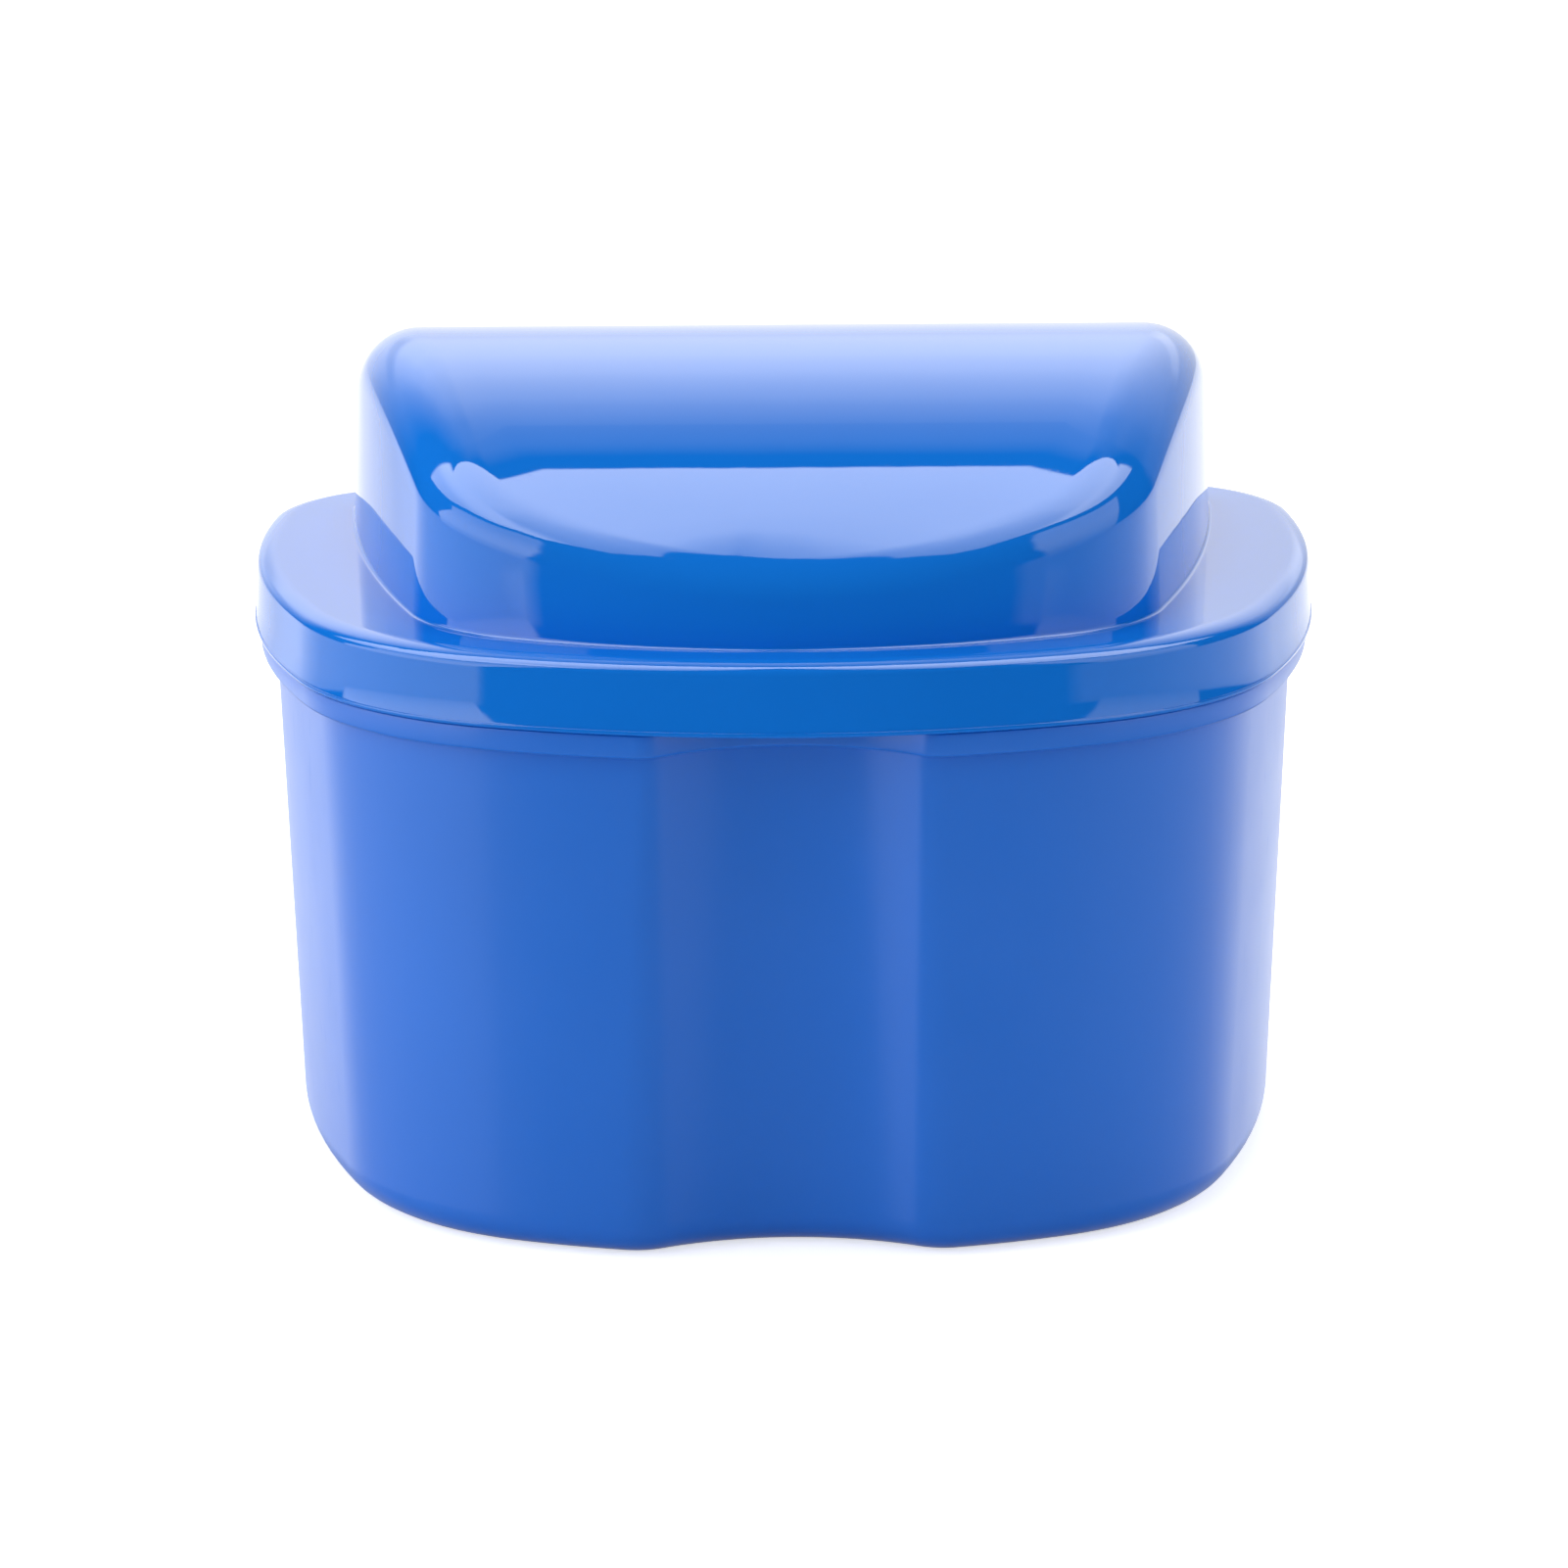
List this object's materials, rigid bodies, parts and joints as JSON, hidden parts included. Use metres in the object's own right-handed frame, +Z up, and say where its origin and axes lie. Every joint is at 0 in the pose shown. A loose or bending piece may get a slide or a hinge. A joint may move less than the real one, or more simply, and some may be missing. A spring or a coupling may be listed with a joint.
{
  "type": "denture soaking case",
  "caption": "Deep soaking tub with a thumb recess, a lift-off skirted lid with an arched dome, and a hanging strainer basket with a folding handle.",
  "frame": {"origin": "middle of the footprint, at the height of the table that the tub stands on", "axes": "+X across the width, -Y towards the front with the thumb recess, +Z up"},
  "size_m": [0.095, 0.076, 0.0722],
  "materials": {
    "tub": "gloss",
    "lid": "gloss",
    "basket": "satin",
    "handle": "satin"
  },
  "bodies": {
    "tub": {"tub": "tub"},
    "basket": {"basket": "basket"},
    "lid": {"lid": "lid"},
    "handle": {"handle": "handle"}
  },
  "joints": [
    {"name": "basket_lift", "type": "slide", "parent": "tub", "child": "basket", "axis": [0, 0, 1], "range_m": [0, 0.06]},
    {"name": "lid_lift", "type": "slide", "parent": "basket", "child": "lid", "axis": [0, 0, 1], "range_m": [0, 0.05]},
    {"name": "handle_swing", "type": "hinge", "parent": "basket", "child": "handle", "pos_m": [0, 0.004, 0.042], "axis": [-1, 0, 0], "range_deg": [0, 180]}
  ]
}
